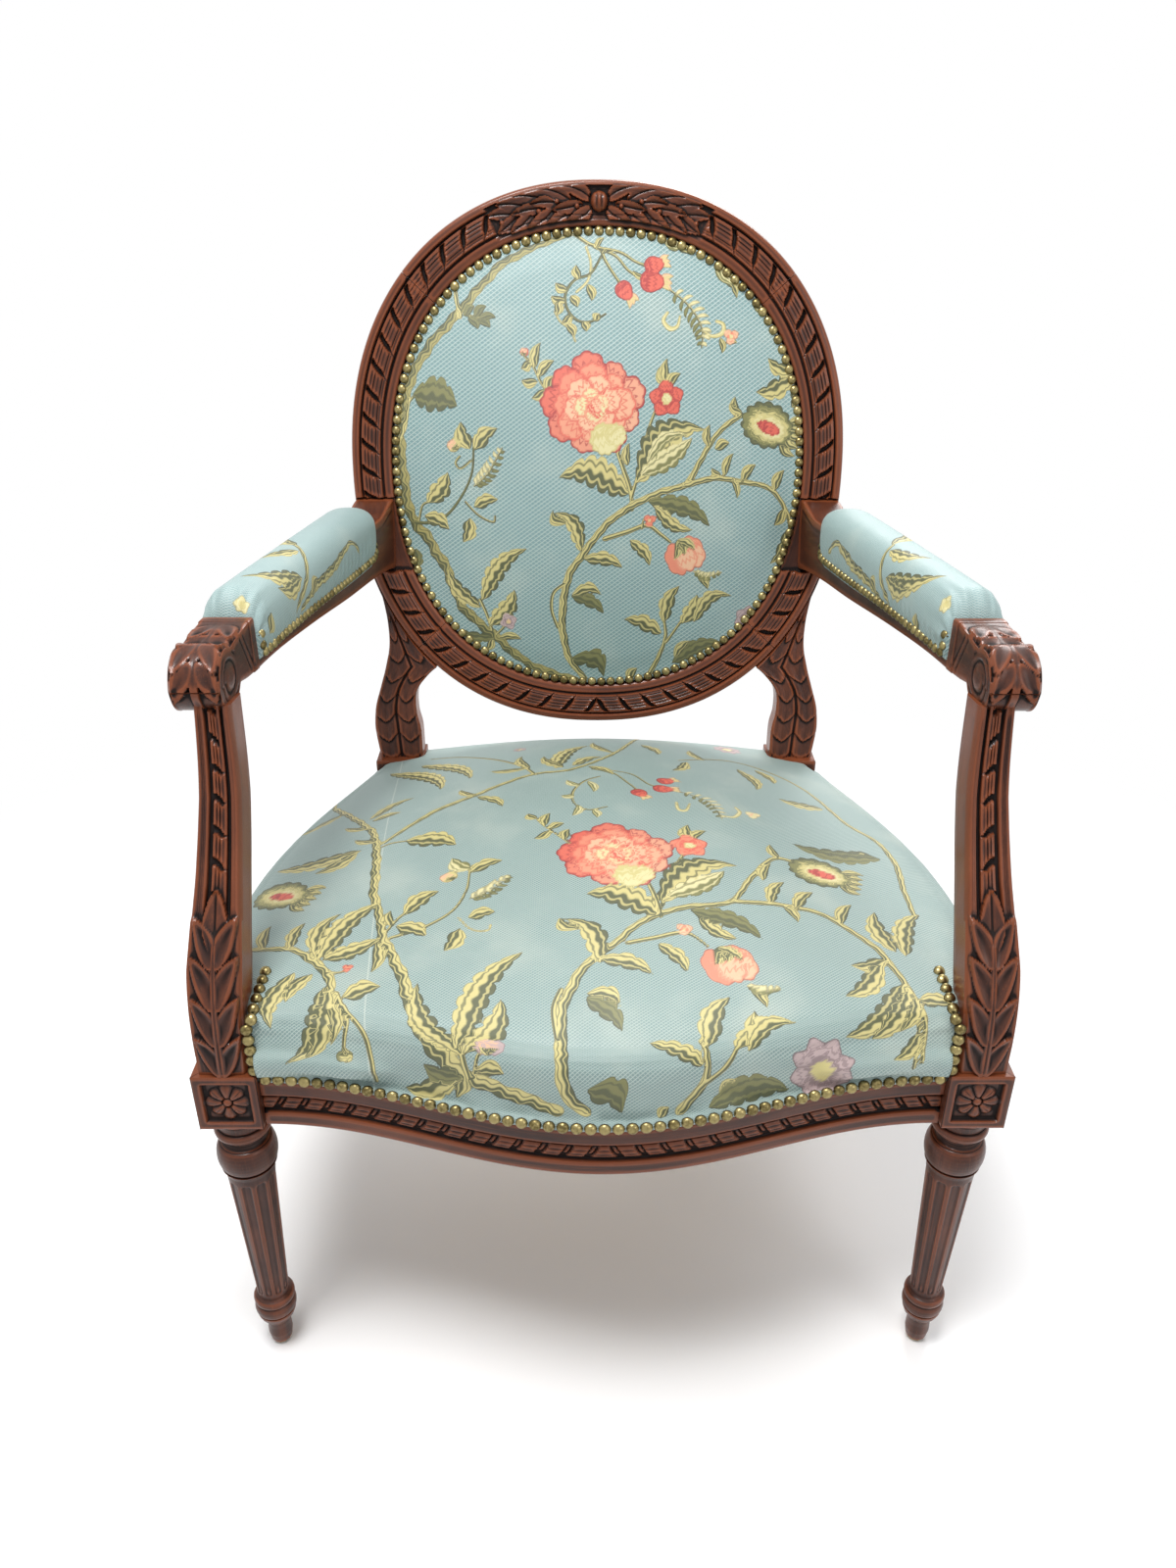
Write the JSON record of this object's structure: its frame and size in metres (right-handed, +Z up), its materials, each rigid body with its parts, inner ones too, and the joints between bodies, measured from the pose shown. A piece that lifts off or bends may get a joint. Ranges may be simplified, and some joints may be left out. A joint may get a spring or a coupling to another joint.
{
  "type": "fauteuil",
  "caption": "Open armchair with an oval upholstered back, padded arms, stuffed seat, carved wooden frame and fluted tapering legs.",
  "frame": {"origin": "on the floor, under the middle of the chair's bounding box", "axes": "+Z up, the chair faces -Y, +X to the right seen from the front"},
  "size_m": [0.6586, 0.6738, 0.9595],
  "materials": {
    "walnut": "dark reddish-brown stained and waxed wood, satin, darker in the carving",
    "frame_beech": "plain sawn hardwood, unpolished",
    "brocade": "light blue-green woven cloth with flowering branches in gold, olive, coral and pink",
    "jute": "coarse woven jute webbing",
    "hessian": "plain open-weave sacking",
    "brass": "smooth pressed brass, slightly worn"
  },
  "bodies": {
    "root": {"front_leg_left": "walnut", "rear_leg_left": "walnut", "side_rail_left": "walnut", "arm_left": "walnut", "arm_post_left": "walnut", "arm_pad_left": "brocade", "front_corner_block_left": "frame_beech", "rear_corner_block_left": "frame_beech", "front_glide_left": "brass", "rear_glide_left": "brass", "front_leg_right": "walnut", "rear_leg_right": "walnut", "side_rail_right": "walnut", "arm_right": "walnut", "arm_post_right": "walnut", "arm_pad_right": "brocade", "front_corner_block_right": "frame_beech", "rear_corner_block_right": "frame_beech", "front_glide_right": "brass", "rear_glide_right": "brass", "front_rail": "walnut", "rear_rail": "walnut", "back_top_rail": "walnut", "back_bottom_rail": "walnut", "back_pad": "brocade", "back_outer_cover": "brocade", "seat_cushion": "brocade", "seat_hessian": "hessian", "seat_long_strap_1": "jute", "seat_cross_strap_1": "jute", "seat_long_strap_2": "jute", "seat_cross_strap_2": "jute", "seat_long_strap_3": "jute", "seat_cross_strap_3": "jute", "seat_long_strap_4": "jute", "seat_cross_strap_4": "jute", "seat_long_strap_5": "jute", "seat_cross_strap_5": "jute", "back_upright_strap_1": "jute", "back_level_strap_1": "jute", "back_upright_strap_2": "jute", "back_level_strap_2": "jute", "back_upright_strap_3": "jute", "back_level_strap_3": "jute"}
  },
  "joints": []
}
